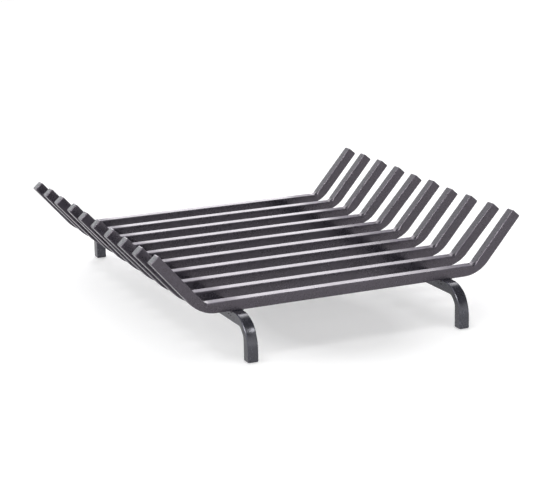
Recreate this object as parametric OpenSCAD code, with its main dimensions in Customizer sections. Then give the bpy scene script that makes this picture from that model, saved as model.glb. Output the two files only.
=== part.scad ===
// Log grate, welded from one size of square steel bar.
// Parallel grate bars, bent up at both ends to hold the logs, lie across two leg bars
// whose ends are bent down to the hearth. Each crossing has a short weld bead in both
// corners under the grate bar.
// Millimetres. X runs along the grate bars, Y from the front bar to the back one, Z up.
// The origin is on the hearth, under the middle of the grate.

/* [Bar stock] */
// Side of the square bar that every piece is bent from
bar_size = 12.7; // [9:0.1:20]
// Width of the bevel that stands for the rolled bar's softened corners
edge_break = 0.9; // [0.3:0.1:2]
// Width of the bevel around each saw-cut end
end_break = 0.6; // [0.2:0.1:1.5]
// How far the bar's two sides swell out at the inside of each bend
bend_swell = 0.7; // [0.3:0.1:1.2]

/* [Grate bars] */
// Number of grate bars
bar_count = 10; // [3:1:14]
// Spacing of the grate bars, centre to centre
bar_pitch = 48; // [30:0.5:80]
// Length of the flat log bed, from the crease of one bend to the other
bed_length = 344; // [220:1:600]
// Length of an upturned end, from the crease to the tip
upturn_length = 81.5; // [40:0.5:150]
// Angle of an upturned end above the flat
upturn_angle = 48.5; // [25:0.5:60]
// Radius outside the upturn's bend, in bar sizes
upturn_bend_bars = 3.3; // [1.8:0.1:4.2]

/* [Leg bars] */
// Distance from the crease of the nearest bends to a leg bar's centre
leg_inset = 38; // [34:1:90]
// Clear height under the leg bars
leg_clearance = 36.8; // [24:0.1:140]
// Straight stretch of leg bar between the outermost grate bar and the leg's bend
leg_stub = 7.7; // [1:0.1:60]
// Radius inside the leg's bend, in bar sizes
leg_inner_bars = 1; // [0.4:0.1:1.5]
// Radius outside the leg's bend, in bar sizes
leg_outer_bars = 2.7; // [2.5:0.1:3]

/* [Welds] */
// Size of the weld bead across each face that it joins
weld_size = 3.5; // [2:0.1:5]
// How far the bead's ends stop short of the grate bar's sides
weld_setback = 0.5; // [0.2:0.1:1.5]

/* [Hidden] */
$fn = 96;
half_bar = bar_size / 2;
bed_half = bed_length / 2;
leg_x = bed_half - leg_inset;
leg_top = leg_clearance + bar_size;
bed_top = leg_top + bar_size;
bar_row = (bar_count - 1) * bar_pitch;
upturn_outer_r = upturn_bend_bars * bar_size;
leg_inner_r = leg_inner_bars * bar_size;
leg_outer_r = leg_outer_bars * bar_size;
// Y of the legs' outer faces
leg_face_y = bar_row / 2 + half_bar + leg_stub + leg_outer_r;
// How far the straight stretches of a sharp bend run past the crease, to fill its corner
corner_overrun = 0.6 * bar_size;
// How far the round outside of a bend stands off the straight faces, so that it meets
// them at a clear angle
bend_standoff = 0.02;
// Radius on the bar's side of the patch that swells at a bend
swell_reach = 0.85 * bar_size;
swell_sphere_r = (swell_reach * swell_reach + bend_swell * bend_swell) / (2 * bend_swell);

BAR_NODES = [for (i = [1 : bar_count]) str("grate_bar_", i)];

// Distance from a bend's crease back to where its outside starts to curve
function bend_lead(angle, outer_r) = (outer_r - bar_size) * tan(angle / 2);

// Y of a grate bar's centre, counted from the front
function bar_y(i) = (i - 1) * bar_pitch - bar_row / 2;

// Section of a stretch of bar: its inner face on y = 0, its outer face below
module bar_section(width, bevel) {
    polygon([
        [-width / 2, -bar_size + bevel],
        [-width / 2 + bevel, -bar_size],
        [width / 2 - bevel, -bar_size],
        [width / 2, -bar_size + bevel],
        [width / 2, -bevel],
        [width / 2 - bevel, 0],
        [-width / 2 + bevel, 0],
        [-width / 2, -bevel]
    ]);
}

// A straight stretch of bar along +X, its inner face on z = 0
module stretch(length, width = bar_size, bevel = edge_break) {
    rotate([90, 0, 90])
        linear_extrude(length)
            bar_section(width, bevel);
}

// The corners taken off around the saw-cut start of a stretch
module end_corners() {
    for (turn = [0 : 3])
        translate([0, 0, -half_bar])
            rotate([90 * turn, 0, 0])
                translate([0, 0, half_bar])
                    rotate([0, -45, 0])
                        cube([2 * bar_size, 2 * bar_size, sqrt(2) * end_break], center = true);
}

// The swept inside of a bend: a sector of a ring across Y, with its inner rim bevelled
module bend_sector(angle, inner_r, outer_r, width, bevel) {
    rotate([90, 90, 0])
        rotate_extrude(angle = angle)
            polygon([
                [inner_r, -width / 2 + bevel],
                [inner_r + bevel, -width / 2],
                [outer_r, -width / 2],
                [outer_r, width / 2],
                [inner_r + bevel, width / 2],
                [inner_r, width / 2 - bevel]
            ]);
}

// What the outside of a bend lacks of a sharp corner: the space around a disc across Y
// whose bevelled rim is the outside of the bend
module bend_outside(angle, radius) {
    margin = 2 * bend_swell;
    rotate([90, 90, 0])
        rotate_extrude(angle = angle)
            polygon([
                [radius - edge_break - margin, -half_bar - margin],
                [radius + 2 * bar_size, -half_bar - margin],
                [radius + 2 * bar_size, half_bar + margin],
                [radius - edge_break - margin, half_bar + margin],
                [radius, half_bar - edge_break],
                [radius, edge_break - half_bar]
            ]);
}

// A bend before its outside is rounded. The bar comes in along +X with its inner face on
// z = 0 and leaves upwards at the angle; the inner faces would meet on the Y axis.
module bend_blank(run, tail, angle, inner_r, width, bevel) {
    inner_lead = inner_r * tan(angle / 2);
    overrun = inner_r > 0 ? -inner_lead : corner_overrun;
    translate([overrun, 0, 0])
        mirror([1, 0, 0])
            stretch(run + overrun, width, bevel);
    mirror([cos(angle / 2), 0, sin(angle / 2)])
        translate([overrun, 0, 0])
            mirror([1, 0, 0])
                stretch(tail + overrun, width, bevel);
    if (inner_r > 0)
        translate([-inner_lead, 0, inner_r])
            bend_sector(angle, inner_r, inner_r + 2 * bar_size, width, bevel);
}

// Two large spheres that meet in a lens, thicker than the bar by the swell on each side
module swell_lens() {
    intersection_for(side = [-1, 1])
        translate([0, side * (half_bar + bend_swell - swell_sphere_r), 0])
            sphere(swell_sphere_r, $fn = 180);
}

// Half of a bar: a straight run and the cut end beyond its cold bend, where the sides
// are swollen by the squeezed inside. The outside is rounder than a true sweep, which
// thins the bar.
module bent_half(run, tail, angle, inner_r, outer_r) {
    lead = bend_lead(angle, outer_r);
    near = (lead + tail) / 2;
    swell_depth = bar_size / 4 - inner_r * (1 / cos(angle / 2) - 1);
    difference() {
        union() {
            bend_blank(run, tail, angle, inner_r, bar_size, edge_break);
            intersection() {
                bend_blank(near, near, angle, inner_r, bar_size + 4 * bend_swell, 0);
                translate([swell_depth * sin(angle / 2), 0, -swell_depth * cos(angle / 2)])
                    swell_lens();
            }
        }
        translate([-lead, 0, outer_r - bar_size])
            bend_outside(angle, outer_r + bend_standoff);
        mirror([cos(angle / 2), 0, sin(angle / 2)])
            translate([-tail, 0, 0])
                end_corners();
    }
}

// A grate bar: the flat bed and its two upturned ends, centred on x = 0, top at bed_top
module grate_bar(i) {
    color("dimgray")
        translate([0, bar_y(i), bed_top])
            for (side = [0, 1])
                mirror([side, 0, 0])
                    translate([bed_half, 0, 0])
                        bent_half(
                            bed_half + half_bar, upturn_length,
                            upturn_angle, 0, upturn_outer_r
                        );
}

// A leg bar: a cross rail under the grate bars with both ends bent down to the hearth
module leg_bar(x) {
    crease_y = leg_face_y - bar_size;
    color("dimgray")
        translate([x, 0, 0])
            for (side = [0, 1])
                mirror([0, side, 0])
                    translate([0, crease_y, leg_clearance])
                        rotate([180, 0, 90])
                            bent_half(
                                crease_y + half_bar, leg_clearance,
                                90, leg_inner_r, leg_outer_r
                            );
}

// A weld bead along Y: a quarter round filling the corner below and beside the origin,
// with rounded ends; side is the way that it faces along X
module weld_bead(side) {
    straight = bar_size - 2 * (weld_setback + weld_size);
    intersection() {
        union() {
            rotate([90, 0, 0])
                cylinder(h = straight, r = weld_size, center = true);
            for (end = [-1, 1])
                translate([0, end * straight / 2, 0])
                    sphere(weld_size);
        }
        translate([side > 0 ? 0 : -bar_size, -bar_size, -bar_size])
            cube([bar_size, 2 * bar_size, bar_size]);
    }
}

// The row of beads along one side of a leg bar, one under each grate bar
module weld_row(x, side) {
    color("gray")
        for (i = [1 : bar_count])
            translate([x + side * half_bar, bar_y(i), leg_top])
                weld_bead(side);
}

for (i = [1 : bar_count])
    grate_bar(i);
leg_bar(-leg_x);  // left_leg_bar
leg_bar(leg_x);  // right_leg_bar
weld_row(-leg_x, -1);  // left_leg_outer_welds
weld_row(-leg_x, 1);  // left_leg_inner_welds
weld_row(leg_x, -1);  // right_leg_inner_welds
weld_row(leg_x, 1);  // right_leg_outer_welds
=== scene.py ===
"""Looks for the log grate: a square-bar hearth grate in dark satin paint, in a pale studio."""
import math
import random
from collections import namedtuple

import bmesh
import bpy
from mathutils import Matrix, Vector, noise


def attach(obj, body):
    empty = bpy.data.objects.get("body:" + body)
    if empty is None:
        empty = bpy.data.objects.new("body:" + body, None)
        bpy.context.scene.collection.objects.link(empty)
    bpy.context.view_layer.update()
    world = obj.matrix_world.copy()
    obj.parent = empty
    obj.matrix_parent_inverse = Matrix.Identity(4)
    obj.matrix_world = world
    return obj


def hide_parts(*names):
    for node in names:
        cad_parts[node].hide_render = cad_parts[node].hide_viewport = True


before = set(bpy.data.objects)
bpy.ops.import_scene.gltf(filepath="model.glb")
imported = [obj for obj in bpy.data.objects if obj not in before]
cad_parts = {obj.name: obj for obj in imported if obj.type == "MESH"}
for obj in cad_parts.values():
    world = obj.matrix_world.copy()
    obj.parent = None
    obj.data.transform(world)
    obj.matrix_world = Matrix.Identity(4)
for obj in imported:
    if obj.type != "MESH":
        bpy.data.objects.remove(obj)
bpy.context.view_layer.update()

MM = 0.001

# Sizes of the grate, in millimetres, as the CAD model has them
BAR = 12.7
HALF = BAR / 2
BAR_COUNT = 10
BAR_PITCH = 48.0
BAR_ROW = (BAR_COUNT - 1) * BAR_PITCH
BED_HALF = 344.0 / 2
UPTURN = 81.5
UPTURN_ANGLE = math.radians(48.5)
UPTURN_OUTER_R = 3.3 * BAR
LEG_INSET = 38.0
LEG_X = BED_HALF - LEG_INSET
LEG_CLEARANCE = 36.8
LEG_STUB = 7.7
LEG_INNER_R = BAR
LEG_OUTER_R = 2.7 * BAR
LEG_TOP = LEG_CLEARANCE + BAR
LEG_FACE_Y = BAR_ROW / 2 + HALF + LEG_STUB + LEG_OUTER_R
BED_TOP = LEG_TOP + BAR
SWELL = 0.7
WELD = 3.5
WELD_SETBACK = 0.5

# The bar's finer shape, which the CAD solids don't carry.
# The radius of its corners, what a bend adds to that inside and outside, how far the
# outside of a bend sinks along its middle, and the share of the outside's length that the
# paint's grain counts round it
CORNER_R = 1.05
BEND_SOFTENING = (0.5, 0.3)
BEND_DISH = 0.3
BEND_PATH = 0.8
# How much the crease of a fold is rounded, how far the fold's corners sink, the depth at
# which that ends, and where it starts and ends across the bar, as shares of its half
FOLD_ROUND = 4.5
FOLD_NOTCH = 1.1
FOLD_NOTCH_DEPTH = 6.0
FOLD_NOTCH_SIDE = (0.5, 0.95)
# How far along the bar the squeeze of a fold and of a leg's bend reaches, and its swell
FOLD_SQUEEZE = 4.0
LEG_SQUEEZE = 12.0
SWELL_SPREAD = 0.52 * BAR
# The rounding of a cut end's rim, its smallest corner, how far its middle stands proud,
# and the size and height of each row of points on it
END_R = 1.6
END_CORNER_R = 0.35
END_CROWN = 0.12
END_ROWS = ((0.75, 0.05), (0.45, 0.1), (0.15, END_CROWN))
# Where the paint is thinnest, and a painted edge highlight brightest, on that rim, as a share
# of the way in, and how fast that fades
RIM_PEAK = 0.35
RIM_FALL = 1.6
# How far a bar strays from straight, how quickly along it, up and across, the length
# before its end over which that dies away, and what its noise starts from
WANDER = 0.08
WANDER_RATE = (0.012, 0.03, 0.05)
STEADY_END = 20.0
WANDER_SEED = 1

# Where the paint lies dull on the flat before a fold, and lighter there as a painted sheen:
# the distances from the crease at which it starts, is full, fades and stops, and the depth
# that it reaches
DULL_SHEEN_FLAT = (45.0, 30.0, 7.5, 3.5)
DULL_SHEEN_DEPTH = 1.5

# The paint's textures, in waves to a metre, how much the drawn lines are stretched along a
# bar, and how far in metres a bar's texture is from the next one's
CLOUDS = 24.0
BLOTCH = 150.0
SPECK = 1500.0
LINES = 1300.0
PEEL = 520.0
LINE_STRETCH = (0.06, 1.0, 1.0)
TEXTURE_STEP = 0.37
# Its refraction, the roughness that dullness adds, and the strength and height of its peel
PAINT_IOR = 1.7
DULL_ROUGHNESS = 0.2
PEEL_STRENGTH = 0.5
PEEL_HEIGHT = 0.08 * MM
# The bare steel that shows on the cut ends
CUT_STEEL = (0.15, 0.155, 0.165)

# How finely the bars, the weld beads and their spatter are drawn
CORNER_STEPS = 5
FACE_STEPS = 6
BEND_STEPS = 36
FOLD_CROWDING = 1.5
STATION = 7.0
BEAD_AROUND = 12
BEAD_ALONG = 34
DROP_AROUND = 12
DROP_DOWN = 7

# The weld beads: the range of their sizes against the nominal one, how far one leans to a
# bar, its least radius, the ripples of its run, how far its faces and its root sink into
# the bars, and how much flatter than a quarter round it is
BEAD_SIZE = (0.9, 0.98)
BEAD_LEAN = 0.045
BEAD_LEAST = 0.93
RIPPLE_RATE = 2.1
RIPPLE_LAG = 0.55
RIPPLE_HEIGHT = 0.05
BEAD_SINK = 0.25
BEAD_ROOT = 0.5
BEAD_FLATNESS = 0.07
# The drops of spatter beside each bead: their number, radius, and places along the leg bar
# and below its top
DROPS = 2
DROP_R = (0.6, 1.0)
DROP_ALONG = (-5, 5)
DROP_BELOW = (4.2, 6.5)

# Light of the world: its strength on the paint and in the paint's gloss, the heights of
# the view between which it dims, and the share of it that is left overhead
WORLD_LIGHT = 0.76
WORLD_GLOSS = 0.8
WORLD_RISE = (0.1, 0.55)
CEILING = 0.1

# The floor, in metres, the range of its white, and the glow that keeps it white away from
# the grate and is weak in an oval under it, a painted shadow: the middle and the half axes of
# that oval, the shares of the oval between which the glow rises, from what to what, and how
# much of it shows in the gloss
FLOOR_R = 3.5
BOARD_WHITES = (0.86, 0.88)
PAINTED_SHADOW_CENTRE = (0.005, -0.16, 0.0)
PAINTED_SHADOW_SIZE = (0.135, 0.225, 1.0)
PAINTED_SHADOW_REACH = (0.48, 1.05)
FLOOR_GLOW = (0.015, 0.27)
GLOSS_GLOW = 0.6

# The camera that was fitted to the photograph, in degrees, metres, pixels and millimetres
AZIMUTH = 23.904
ELEVATION = 14.564
ROLL = math.radians(-1.257)
DISTANCE = 2184.4 * MM
TARGET = Vector((7.94, 4.52, 49.47)) * MM
FOCAL_PX = 1726.64
PHOTO_WIDTH_PX = 540
SENSOR_WIDTH = 36.0

# How the real bars, bent and cut by hand, differ from the nominal one: degrees and
# millimetres at the left and the right end of each bar, from the front. A least-squares
# fit to the tips' places in the photograph gave them, and the ends that would pass the
# solids' box were cut back after it.
BAR_ENDS = [
    ((0.7, -0.6), (0.9, -0.8)), ((-0.2, -0.5), (-0.8, -0.9)), ((-0.5, -0.4), (0.6, -2.2)),
    ((-0.4, -0.3), (0.3, -2.7)), ((0.0, 0.2), (0.1, -1.1)), ((-0.4, -0.3), (-0.7, -1.9)),
    ((0.7, -1.3), (-0.4, -0.3)), ((-0.2, -0.1), (0.5, -0.4)), ((0.3, -0.1), (0.9, -0.8)),
    ((0.5, -1.2), (0.6, -0.5)),
]
STRAIGHT_ENDS = ((0, 0), (0, 0))


def bar_y(i):
    """Y of grate bar i's centre, counted from 1 at the front."""
    return (i - 1) * BAR_PITCH - BAR_ROW / 2


# ---------------------------------------------------------------- meshes

def tube_faces(first, rings, around):
    """Faces of a closed tube of rings, with around points each, from point first on."""
    faces = []
    for k in range(rings - 1):
        for j in range(around):
            a, b = first + k * around + j, first + k * around + (j + 1) % around
            faces.append((a, b, b + around, a + around))
    last = first + (rings - 1) * around
    faces.append(tuple(range(first, first + around)))
    faces.append(tuple(range(last, last + around))[::-1])
    return faces


def finish_mesh(name, mesh):
    """A linked object of the mesh, with outward normals and smooth shading."""
    bm = bmesh.new()
    bm.from_mesh(mesh)
    bmesh.ops.recalc_face_normals(bm, faces=bm.faces)
    for face in bm.faces:
        face.smooth = True
    bm.to_mesh(mesh)
    bm.free()
    obj = bpy.data.objects.new(name, mesh)
    bpy.context.scene.collection.objects.link(obj)
    normals = obj.modifiers.new("even_normals", "WEIGHTED_NORMAL")
    normals.mode = "FACE_AREA"
    normals.weight = 60
    return obj


# ---------------------------------------------------------------- bent bars

# A point of a bar's mesh: its place in the bar's own frame (along, across, up), the length
# of bar up to it, its place in the section, and the marks that the paint reads
BarPoint = namedtuple("BarPoint", "place run y depth rim fold cut")


def section(width, depth, r_in, r_out):
    """A rounded section as (y, d, rim) points; d is the depth below the inner face.

    rim is 1 in the middle of a corner and 0 on the faces.
    """
    half = width / 2
    corners = [
        (half - r_in, r_in, r_in, -90),
        (half - r_out, depth - r_out, r_out, 0),
        (-half + r_out, depth - r_out, r_out, 90),
        (-half + r_in, r_in, r_in, 180),
    ]
    arcs = []
    for cy, cd, r, start in corners:
        arc = []
        for step in range(CORNER_STEPS + 1):
            a = math.radians(start + 90 * step / CORNER_STEPS)
            rim = math.sin(math.pi * step / CORNER_STEPS)
            arc.append((cy + r * math.cos(a), cd + r * math.sin(a), rim))
        arcs.append(arc)
    points = []
    for k, arc in enumerate(arcs):
        points += arc
        y0, d0, _ = arc[-1]
        y1, d1, _ = arcs[(k + 1) % 4][0]
        for step in range(1, FACE_STEPS):
            f = step / FACE_STEPS
            points.append((y0 + (y1 - y0) * f, d0 + (d1 - d0) * f, 0.0))
    return points


def smooth_min(a, b, k):
    """The smaller of two lengths, rounded over where they meet."""
    h = max(k - abs(a - b), 0.0) / k
    return min(a, b) - h * h * k * 0.25


class Bend:
    """A bend and the bar beyond it, in the bend's plane.

    The bar comes in along +X with its inner face on z = 0 and leaves upwards at the angle;
    its inner faces would meet at the origin, the crease. The round of its outside is about
    (-lead, rise). tail is the bar's nominal length beyond the crease and extra what it has
    over that. squeeze is how far from its middle the bend is squeezed.
    """

    def __init__(self, angle, inner_r, outer_r, tail, squeeze, extra=0.0):
        self.angle, self.inner_r, self.outer_r = angle, inner_r, outer_r
        self.tail, self.squeeze, self.end = tail, squeeze, tail + extra
        self.sharp = inner_r == 0
        self.rise = outer_r - BAR
        self.lead = self.rise * math.tan(angle / 2)

    def altered(self, degrees, extra):
        """This bend as made by hand, off by some degrees and by an extra length."""
        angle = self.angle + math.radians(degrees)
        return Bend(angle, self.inner_r, self.outer_r, self.tail, self.squeeze, extra)

    def inside(self, phi):
        """Distance from the centre of the outside's round to the inside, at angle phi."""
        a = self.rise
        if self.sharp:
            return smooth_min(a / math.cos(phi), a / math.cos(self.angle - phi), FOLD_ROUND)
        reach = (a - self.inner_r) * math.tan(self.angle / 2)
        flat_end = math.atan2(reach, a)
        if phi < flat_end:
            return a / math.cos(phi)
        if self.angle - phi < flat_end:
            return a / math.cos(self.angle - phi)
        x, z = reach, self.inner_r - a
        along = x * math.sin(phi) - z * math.cos(phi)
        square = along * along - x * x - z * z + self.inner_r * self.inner_r
        return along + math.sqrt(max(square, 0.0))

    def swell(self, x, z):
        """Sideways swell of the bar at a point of the bend's plane."""
        depth = BAR / 4 - self.inner_r * (1 / math.cos(self.angle / 2) - 1)
        dx = x - depth * math.sin(self.angle / 2)
        dz = z + depth * math.cos(self.angle / 2)
        return SWELL * math.exp(-(dx * dx + dz * dz) / SWELL_SPREAD ** 2)


class Station:
    """One cross-section of a bent bar.

    point is on its inner face, out points through the bar, depth is the bar's thickness
    and run the length of bar up to there. pinch is 1 in the middle of a bend and fades
    along the bar. At a cut end, inset is how far the faces have come in, and shrink the
    share of that size which is left.
    """

    def __init__(self, point, out, depth, run, pinch=0.0, inset=0.0, shrink=1.0):
        self.point, self.out, self.depth, self.run = point, out, depth, run
        self.pinch, self.inset, self.shrink = pinch, inset, shrink

    def outline(self):
        """(y, d, rim) points round the bar, before the bend presses them."""
        if not self.inset:
            inner, outer = BEND_SOFTENING
            r_in, r_out = CORNER_R + inner * self.pinch, CORNER_R + outer * self.pinch
            return section(BAR, self.depth, r_in, r_out)
        size = BAR - 2 * self.inset
        corner = max(CORNER_R - 0.6 * self.inset, END_CORNER_R)
        return [
            (y * self.shrink, HALF + (d - size / 2) * self.shrink, rim)
            for y, d, rim in section(size, size, corner, corner)
        ]

    def pressed(self, y, d, sharp):
        """The depth of a point at y and depth d, after what the bend does to it."""
        if sharp:
            # the squeezed corners of the fold sink into the bar's sides
            start, full = FOLD_NOTCH_SIDE
            side = min(max((abs(y) / HALF - start) / (full - start), 0.0), 1.0)
            notch = FOLD_NOTCH * self.pinch ** 2 * side * side * (3 - 2 * side)
            d += notch * max(0.0, 1 - d / FOLD_NOTCH_DEPTH)
        # and the stretched outside sinks along its middle
        if d > self.depth - CORNER_R:
            d -= BEND_DISH * self.pinch * (1 - (y / HALF) ** 2)
        return d


def flat_stations(bend, run):
    """Stations from the bar's middle, at run from the crease, up to the bend."""
    stations = []
    count = max(2, round((run - bend.lead) / STATION))
    for k in range(count):
        x = -run + (run - bend.lead) * k / count
        stations.append(Station(Vector((x, 0, 0)), Vector((0, 0, -1)), BAR, run + x))
    return stations


def bend_stations(bend, run):
    """Stations round the bend, that crowd towards a sharp crease."""
    centre = Vector((-bend.lead, 0, bend.rise))
    stations = []
    for k in range(BEND_STEPS + 1):
        t = 2 * k / BEND_STEPS - 1
        if bend.sharp:
            t = math.copysign(abs(t) ** FOLD_CROWDING, t)
        phi = bend.angle * (t + 1) / 2
        u = Vector((math.sin(phi), 0, -math.cos(phi)))
        inside = bend.inside(phi)
        pinch = math.exp(-((phi - bend.angle / 2) * bend.rise / bend.squeeze) ** 2)
        path = run - bend.lead + phi * (bend.outer_r - HALF) * BEND_PATH
        depth = bend.outer_r - inside
        stations.append(Station(centre + u * inside, u, depth, path, pinch))
    return stations


def tail_stations(bend, path):
    """Stations from the bend to the cut end: rounded edges round a slightly proud face."""
    along = Vector((math.cos(bend.angle), 0, math.sin(bend.angle)))
    out = Vector((math.sin(bend.angle), 0, -math.cos(bend.angle)))
    base = bend.end - END_R
    stations = []
    count = max(2, round((bend.end - bend.lead) / STATION))
    for k in range(1, count + 1):
        s = (base - bend.lead) * k / count
        stations.append(Station(along * (bend.lead + s), out, BAR, path + s))
    path = stations[-1].run
    for step in range(1, CORNER_STEPS + 1):
        a = math.pi / 2 * step / CORNER_STEPS
        inset, reach = END_R * (1 - math.cos(a)), (END_R - END_CROWN) * math.sin(a)
        stations.append(Station(along * (base + reach), out, BAR, path + reach, 0.0, inset))
    for shrink, rise in END_ROWS:
        point = along * (base + END_R - END_CROWN + rise)
        stations.append(Station(point, out, BAR, path + END_R, 0.0, END_R, shrink))
    return stations


def half_stations(bend, run):
    """Stations from the bar's middle to its cut end."""
    stations = flat_stations(bend, run) + bend_stations(bend, run)
    return stations + tail_stations(bend, stations[-1].run)


def dullness_and_sheen(x, d):
    """How dull the paint lies, and how much a painted sheen lightens it, at x along a bar with
    sharp folds, and the depth d.
    """
    start, full, fade, stop = DULL_SHEEN_FLAT
    rise, fall = (x + start) / (start - full), (-x - stop) / (fade - stop)
    return min(max(rise, 0.0), 1.0, max(fall, 0.0)) * max(0.0, 1 - d / DULL_SHEEN_DEPTH)


def ring(st, bend, sign, crease_at, shift):
    """The points round the bar at a station of its low end or its high one, by sign."""
    wear_and_highlight, cut = 0.0, min(1.0, st.inset / END_R)
    # on a cut end's rim the paint is lighter: thin paint and a painted edge highlight
    if st.inset:
        wear_and_highlight = max(0.0, 1 - abs(cut - RIM_PEAK) * RIM_FALL)
    points = []
    for y, d, rim in st.outline():
        d = st.pressed(y, d, bend.sharp)
        p = st.point + st.out * d
        y *= 1 + bend.swell(p.x, p.z) / HALF
        place = Vector((sign * (crease_at + p.x), y, p.z))
        along, up, across = WANDER_RATE
        waves = Vector((place.x * along, place.z * up, y * across)) + shift
        fade = min(1.0, max(0.0, (bend.tail - p.length) / STEADY_END)) if p.x > 0 else 1.0
        place += noise.noise_vector(waves) * WANDER * fade
        # dull paint before a sharp fold, made lighter there by a painted sheen
        fold = dullness_and_sheen(p.x, d) if bend.sharp else 0.0
        points.append(BarPoint(place, sign * st.run, y, d, max(rim, wear_and_highlight), fold, cut))
    return points


def bent_bar(name, to_frame, crease_at, bend, seed, ends=STRAIGHT_ENDS):
    """A bar with the bend at both ends, as one closed mesh.

    to_frame maps a place in the bar's own frame into the grate's, and crease_at is how far
    the creases are from the bar's middle. ends gives, for the low end and the high one, how
    many degrees its bend is off the nominal angle and how many millimetres its tail is off
    the nominal length.
    """
    rng = random.Random(seed)
    shift = Vector([rng.uniform(0, 100) for _ in range(3)])
    halves = []
    for sign, (degrees, extra) in zip((-1, 1), ends):
        end = bend.altered(degrees, extra)
        stations = half_stations(end, crease_at)
        halves.append([ring(st, end, sign, crease_at, shift) for st in stations])
    chain = halves[0][::-1] + halves[1][1:]
    points = [p for row in chain for p in row]
    mesh = bpy.data.meshes.new(name)
    faces = tube_faces(0, len(chain), len(chain[0]))
    mesh.from_pydata([to_frame(p.place) * MM for p in points], [], faces)
    offset = seed * TEXTURE_STEP
    strip = mesh.attributes.new("strip", "FLOAT_VECTOR", "POINT")
    strip.data.foreach_set(
        "vector", [c for p in points for c in (p.run * MM + offset, p.y * MM, p.depth * MM)]
    )
    # a layer is filled before the next is made, which can move it
    for label in ("rim", "fold", "cut"):
        layer = mesh.attributes.new(label, "FLOAT", "POINT")
        layer.data.foreach_set("value", [getattr(p, label) for p in points])
    return finish_mesh(name, mesh)


# ---------------------------------------------------------------- weld beads

def bead(leg_x, side, i, seed, rng):
    """Points of the bead under bar i, in rings along Y that each have a root point."""
    length = BAR - 2 * WELD_SETBACK
    lean = rng.uniform(-BEAD_LEAN, BEAD_LEAN)
    phase = rng.uniform(0, 6)
    size = WELD * rng.uniform(*BEAD_SIZE)
    points = []
    for k in range(BEAD_ALONG + 1):
        f = 2 * k / BEAD_ALONG - 1
        y = f * length / 2
        round_end = max(1 - abs(f) ** 5, 0.0) ** 0.45
        for j in range(BEAD_AROUND + 1):
            a = math.pi / 2 * j / BEAD_AROUND
            lag = RIPPLE_LAG * math.sin(2 * a)
            ripple = abs(math.sin((y + lag) * RIPPLE_RATE + phase)) ** 0.7
            grain = noise.noise(Vector((y * 0.6, a * 2, i * 7.0 + seed)))
            r = size * round_end * (BEAD_LEAST + RIPPLE_HEIGHT * (ripple + grain))
            r *= 1 + lean * math.cos(2 * a)
            r *= 1 - BEAD_FLATNESS * math.sin(2 * a) ** 2
            dx, dz = r * math.cos(a) - BEAD_SINK, r * math.sin(a) - BEAD_SINK
            points.append(Vector((leg_x + side * (HALF + dx), bar_y(i) + y, LEG_TOP - dz)))
        x = leg_x + side * (HALF - BEAD_ROOT)
        points.append(Vector((x, bar_y(i) + y, LEG_TOP + BEAD_ROOT)))
    return points


def drop(centre, r):
    """Points of a drop of weld spatter, a slightly flat ball, in rings from its top."""
    points = []
    for k in range(DROP_DOWN + 1):
        tilt = math.pi * k / DROP_DOWN
        flat = r * math.sin(tilt) + 0.001
        for j in range(DROP_AROUND):
            a = 2 * math.pi * j / DROP_AROUND
            around = Vector((flat * math.cos(a), flat * math.sin(a), 0.9 * r * math.cos(tilt)))
            points.append(centre + around)
    return points


def weld_row(name, leg_x, side, seed):
    """The beads along one side of a leg bar, one under each grate bar, and their spatter."""
    rng = random.Random(seed)
    verts, faces = [], []

    def add_tube(points, around):
        faces.extend(tube_faces(len(verts), len(points) // around, around))
        verts.extend(points)

    for i in range(1, BAR_COUNT + 1):
        add_tube(bead(leg_x, side, i, seed, rng), BEAD_AROUND + 2)
        for _ in range(DROPS):
            r = rng.uniform(*DROP_R)
            y = bar_y(i) + rng.uniform(*DROP_ALONG)
            z = LEG_TOP - rng.uniform(*DROP_BELOW)
            add_tube(drop(Vector((leg_x + side * HALF, y, z)), r), DROP_AROUND)
    mesh = bpy.data.meshes.new(name)
    mesh.from_pydata([v * MM for v in verts], [], faces)
    return finish_mesh(name, mesh)


# ---------------------------------------------------------------- materials

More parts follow.
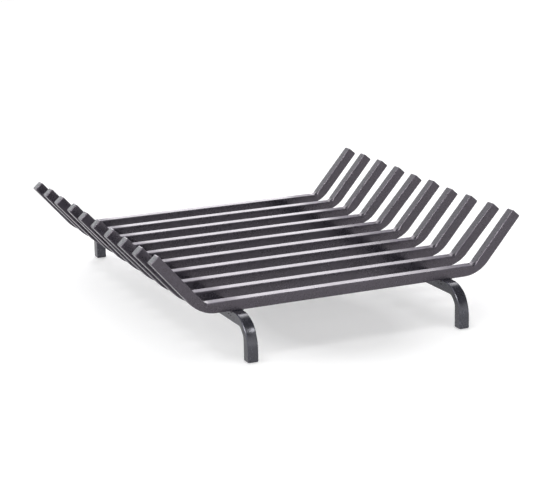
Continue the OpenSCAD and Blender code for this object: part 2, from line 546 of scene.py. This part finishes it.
class Nodes:
    """Short ways to make and join the nodes of a material, or of a world."""

    def __init__(self, name, owner=None):
        self.owner = owner or bpy.data.materials.new(name)
        self.owner.use_nodes = True
        self.tree = self.owner.node_tree
        self.tree.nodes.clear()

    def add(self, kind, **values):
        """A node, with values for its settings or its sockets."""
        node = self.tree.nodes.new(kind)
        for key, value in values.items():
            if hasattr(node, key) and key not in node.inputs:
                setattr(node, key, value)
            else:
                node.inputs[key].default_value = value
        return node

    def join(self, source, target):
        self.tree.links.new(source, target)

    def feed(self, socket, value):
        """Joins an output to a socket, or sets the socket to a number or a colour."""
        if isinstance(value, (int, float)):
            socket.default_value = value
        elif isinstance(value, tuple):
            socket.default_value = (*value, 1.0)
        else:
            self.join(value, socket)

    def attribute(self, label, output="Fac"):
        return self.add("ShaderNodeAttribute", attribute_name=label).outputs[output]

    def noise(self, vector, scale, detail=3.0, roughness=0.5):
        node = self.add("ShaderNodeTexNoise", Scale=scale, Detail=detail, Roughness=roughness)
        self.join(vector, node.inputs["Vector"])
        return node.outputs["Fac"]

    def remap(self, value, low, high, to_low, to_high):
        node = self.add("ShaderNodeMapRange")
        names = ("Value", "From Min", "From Max", "To Min", "To Max")
        for name, number in zip(names, (value, low, high, to_low, to_high)):
            self.feed(node.inputs[name], number)
        return node.outputs["Result"]

    def math(self, operation, a, b):
        node = self.add("ShaderNodeMath", operation=operation)
        self.feed(node.inputs[0], a)
        self.feed(node.inputs[1], b)
        return node.outputs["Value"]

    def mix(self, fac, a, b):
        """A mix of two colours. Sockets 6 and 7 of the node are its colours."""
        node = self.add("ShaderNodeMix", data_type="RGBA")
        self.join(fac, node.inputs["Factor"])
        self.feed(node.inputs[6], a)
        self.feed(node.inputs[7], b)
        return node.outputs[2]

    def finish(self, kind, shader):
        """Ends the tree with its output node and gives the material or the world."""
        self.join(shader, self.add(kind).inputs["Surface"])
        return self.owner


def seen_by_camera(n):
    """1 for the rays of the picture, also through glass, and 0 for the rest."""
    path = n.add("ShaderNodeLightPath").outputs
    return n.math("MAXIMUM", path["Is Camera Ray"], path["Is Transmission Ray"])


def seen_by_gloss(n):
    """1 for the rays of reflections, and 0 for the rest."""
    return n.add("ShaderNodeLightPath").outputs["Is Glossy Ray"]


def paint(name, tint, sheen, rough, strip=True, coarse=1.0):
    """Black satin paint: cloudy, specked, with the steel's drawn lines and orange peel.

    With strip it follows the marks on a bar's points: drawn along the bar, lighter on the
    corners from thin paint and a painted edge highlight, dull and lighter on the flat before a
    fold with a painted sheen, and scuffed on the cut ends. rough is the range of its
    roughness, and coarse makes its orange peel coarser.
    """
    n = Nodes(name)
    if strip:
        where = n.attribute("strip", "Vector")
    else:
        where = n.add("ShaderNodeTexCoord").outputs["Object"]
    drawn = n.add("ShaderNodeMapping", vector_type="POINT")
    n.join(where, drawn.inputs["Vector"])
    if strip:
        drawn.inputs["Scale"].default_value = LINE_STRETCH
    clouds = n.noise(where, CLOUDS, 4.0)
    blotch = n.noise(where, BLOTCH, 5.0, 0.6)
    speck = n.noise(where, SPECK, 2.0)
    lines = n.noise(drawn.outputs["Vector"], LINES, 3.0, 0.65)
    peel = n.noise(where, PEEL / coarse, 3.0, 0.55)

    def shade(level):
        return tuple(level * c for c in tint)

    def blotched(mark, low, high, least):
        return n.math("MULTIPLY", mark, n.remap(blotch, low, high, least, 1.0))

    # each layer: where it lies, from which value to which, how much it covers, its colour
    layers = [
        (clouds, 0.35, 0.65, 1.0, shade(0.023)),
        (blotch, 0.40, 0.70, 0.6, shade(0.038)),
        (speck, 0.58, 0.75, 0.7, shade(0.10)),
        (lines, 0.50, 0.75, 0.4, shade(0.013)),
    ]
    satin = n.remap(n.math("ADD", clouds, blotch), 0.7, 1.3, *rough)
    if strip:
        fold = n.attribute("fold")
        layers += [
            # lighter corners: thin paint there and a painted edge highlight
            (blotched(n.attribute("rim"), 0.4, 0.6, 0.5), 0.35, 1.0, 0.6, shade(0.13)),
            # dull and lighter on the flat before a fold: a painted sheen
            (blotched(fold, 0.35, 0.65, 0.2), 0.2, 1.0, 0.8, shade(0.11)),
            (blotched(n.attribute("cut"), 0.35, 0.6, 0.5), 0.2, 1.0, 0.8, CUT_STEEL),
        ]
        satin = n.math("ADD", satin, n.math("MULTIPLY", fold, DULL_ROUGHNESS))
    colour = shade(0.018)
    for mask, low, high, cover, over in layers:
        colour = n.mix(n.remap(mask, low, high, 0.0, cover), colour, over)

    bump = n.add("ShaderNodeBump", Strength=PEEL_STRENGTH, Distance=PEEL_HEIGHT * coarse)
    n.join(n.math("ADD", peel, n.math("MULTIPLY", lines, 0.35)), bump.inputs["Height"])
    shader = n.add("ShaderNodeBsdfPrincipled", IOR=PAINT_IOR)
    shader.inputs["Specular Tint"].default_value = (*sheen, 1.0)
    n.join(colour, shader.inputs["Base Color"])
    n.join(satin, shader.inputs["Roughness"])
    n.join(bump.outputs["Normal"], shader.inputs["Normal"])
    return n.finish("ShaderNodeOutputMaterial", shader.outputs["BSDF"])


def floor_material():
    """A white board. Away from the grate it glows, for the picture and in the gloss; the weak
    glow in the oval under the grate is a painted shadow.
    """
    n = Nodes("studio_floor")
    where = n.add("ShaderNodeTexCoord").outputs["Object"]
    board = n.add("ShaderNodeBsdfDiffuse")
    dark, light = ((white,) * 3 for white in BOARD_WHITES)
    n.join(n.mix(n.noise(where, 9.0), dark, light), board.inputs["Color"])
    around = n.add(
        "ShaderNodeMapping", vector_type="TEXTURE", Location=PAINTED_SHADOW_CENTRE, Scale=PAINTED_SHADOW_SIZE
    )
    n.join(where, around.inputs["Vector"])
    reach = n.add("ShaderNodeVectorMath", operation="LENGTH")
    n.join(around.outputs["Vector"], reach.inputs[0])
    # painted shadow: the glow is weak in the oval under the grate and rises outside it
    glow = n.remap(reach.outputs["Value"], *PAINTED_SHADOW_REACH, *FLOOR_GLOW)
    in_gloss = n.math("MULTIPLY", seen_by_gloss(n), GLOSS_GLOW)
    seen = n.math("MAXIMUM", seen_by_camera(n), in_gloss)
    white = n.add("ShaderNodeEmission")
    n.join(n.math("MULTIPLY", glow, seen), white.inputs["Strength"])
    both = n.add("ShaderNodeAddShader")
    n.join(board.outputs["BSDF"], both.inputs[0])
    n.join(white.outputs["Emission"], both.inputs[1])
    return n.finish("ShaderNodeOutputMaterial", both.outputs["Shader"])


def studio_world():
    """A world that is white in the picture and dims overhead for the grate."""
    n = Nodes("studio_sky", bpy.data.worlds.new("studio"))
    rise = n.add("ShaderNodeSeparateXYZ")
    n.join(n.add("ShaderNodeTexCoord").outputs["Generated"], rise.inputs["Vector"])
    dim = n.remap(rise.outputs["Z"], *WORLD_RISE, 1.0, CEILING)
    share = n.remap(seen_by_gloss(n), 0, 1, WORLD_LIGHT, WORLD_GLOSS)
    level = n.math("MAXIMUM", n.math("MULTIPLY", dim, share), seen_by_camera(n))
    backdrop = n.add("ShaderNodeBackground", Color=(1.0, 1.0, 1.0, 1.0))
    n.join(level, backdrop.inputs["Strength"])
    return n.finish("ShaderNodeOutputWorld", backdrop.outputs["Background"])


# ---------------------------------------------------------------- the grate

def dress(obj, node, material):
    """Paints a piece, which stands in place of a node of the CAD model."""
    obj.data.materials.append(material)
    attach(obj, "root")
    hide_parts(node)


bar_paint = paint("painted_steel_bars", (0.98, 0.90, 1.20), (1.0, 0.9, 1.0), (0.23, 0.33))
leg_paint = paint("painted_steel_legs", (0.95, 0.95, 1.25), (0.92, 0.92, 1.0), (0.2, 0.3))
weld_paint = paint(
    "painted_weld", (1.0, 0.97, 1.15), (1.0, 0.93, 1.0), (0.12, 0.2), strip=False, coarse=1.6
)

# noise_vector starts from the clock unless it's given a seed
noise.seed_set(WANDER_SEED)

fold_bend = Bend(UPTURN_ANGLE, 0, UPTURN_OUTER_R, UPTURN, FOLD_SQUEEZE)
for i in range(1, BAR_COUNT + 1):
    bar = bent_bar(
        f"bar_{i}", lambda q, i=i: Vector((q.x, bar_y(i) + q.y, BED_TOP + q.z)),
        BED_HALF, fold_bend, seed=i, ends=BAR_ENDS[i - 1],
    )
    dress(bar, f"grate_bar_{i}", bar_paint)

leg_bend = Bend(math.pi / 2, LEG_INNER_R, LEG_OUTER_R, LEG_CLEARANCE, LEG_SQUEEZE)
for label, x in (("left", -LEG_X), ("right", LEG_X)):
    leg = bent_bar(
        f"{label}_leg", lambda q, x=x: Vector((x + q.y, q.x, LEG_CLEARANCE - q.z)),
        LEG_FACE_Y - BAR - WANDER, leg_bend, seed=20 + (x > 0),
    )
    dress(leg, f"{label}_leg_bar", leg_paint)

for seed, (label, x, side) in enumerate((
    ("left_leg_outer", -LEG_X, -1), ("left_leg_inner", -LEG_X, 1),
    ("right_leg_inner", LEG_X, -1), ("right_leg_outer", LEG_X, 1),
), start=40):
    beads = weld_row(f"{label}_beads", x, side, seed)
    dress(beads, f"{label}_welds", weld_paint)

# ---------------------------------------------------------------- studio

bm = bmesh.new()
bmesh.ops.create_circle(bm, cap_ends=True, segments=96, radius=FLOOR_R)
floor_mesh = bpy.data.meshes.new("floor")
bm.to_mesh(floor_mesh)
bm.free()
floor = bpy.data.objects.new("floor", floor_mesh)
bpy.context.scene.collection.objects.link(floor)
floor_mesh.materials.append(floor_material())
bpy.context.scene.world = studio_world()


def add_lamp(name, light, toward, place):
    """Links a lamp that shines against the direction toward. It isn't in the picture."""
    lamp = bpy.data.objects.new(name, light)
    turn = (-toward).to_track_quat("-Z", "Y")
    lamp.matrix_world = Matrix.LocRotScale(place, turn, None)
    lamp.visible_camera = False
    bpy.context.scene.collection.objects.link(lamp)
    return lamp


def heading(azimuth, elevation):
    """The direction at an azimuth, from +Y towards +X, and an elevation, in degrees."""
    a, e = math.radians(azimuth), math.radians(elevation)
    return Vector((math.sin(a) * math.cos(e), math.cos(a) * math.cos(e), math.sin(e)))


def far_disc(name, azimuth, elevation, width, radiance, colour=(1.0, 1.0, 1.0)):
    """A distant round screen of even radiance, width degrees across."""
    light = bpy.data.lights.new(name, "SUN")
    light.angle = math.radians(width)
    light.energy = radiance * math.pi * math.sin(light.angle / 2) ** 2
    light.color = colour
    return add_lamp(name, light, heading(azimuth, elevation), Vector())


def softbox(name, aim, azimuth, elevation, distance, size, radiance):
    """A square softbox of even radiance, seen from aim at the direction and distance."""
    light = bpy.data.lights.new(name, "AREA")
    light.shape = "SQUARE"
    light.size = size
    light.energy = radiance * math.pi * size * size
    toward = heading(azimuth, elevation)
    return add_lamp(name, light, toward, Vector(aim) + toward * distance)


far_disc("back_screen", 22, 25, 44, 2.6, (1.0, 0.97, 1.02))
far_disc("back_left_screen", 338, 24, 44, 1.05, (0.95, 1.0, 1.0))
far_disc("back_high_screen", 36, 46, 18, 2.6)
far_disc("left_screen", 275, 40, 60, 0.7)
far_disc("front_screen", 176, 15, 60, 1.0)
# this one lights without showing in the paint, and the next two only show in it
top = far_disc("top_screen", 0, 90, 60, 2.0)
glint = far_disc("left_glint", 253, 41, 22, 28.0)
leg_light = softbox("front_right_softbox", (-0.134, -0.264, 0.03), 151, 52, 1.25, 0.22, 15.0)
top.visible_glossy = False
glint.visible_diffuse = leg_light.visible_diffuse = False

# ---------------------------------------------------------------- camera

forward = -heading(AZIMUTH + 180, ELEVATION)
level_right = heading(AZIMUTH + 90, 0)
level_up = level_right.cross(forward)
right = level_right * math.cos(ROLL) + level_up * math.sin(ROLL)
up = level_up * math.cos(ROLL) - level_right * math.sin(ROLL)
lens = bpy.data.cameras.new("camera")
lens.sensor_fit = "HORIZONTAL"
lens.sensor_width = SENSOR_WIDTH
lens.lens = FOCAL_PX / PHOTO_WIDTH_PX * SENSOR_WIDTH
camera = bpy.data.objects.new("camera", lens)
rows = Matrix((right, up, -forward)).transposed()
camera.matrix_world = Matrix.Translation(TARGET - forward * DISTANCE) @ rows.to_4x4()
bpy.context.scene.collection.objects.link(camera)
bpy.context.scene.camera = camera
bpy.context.scene.view_settings.view_transform = "Standard"

# ---------------------------------------------------------------- update

bpy.context.view_layer.update()
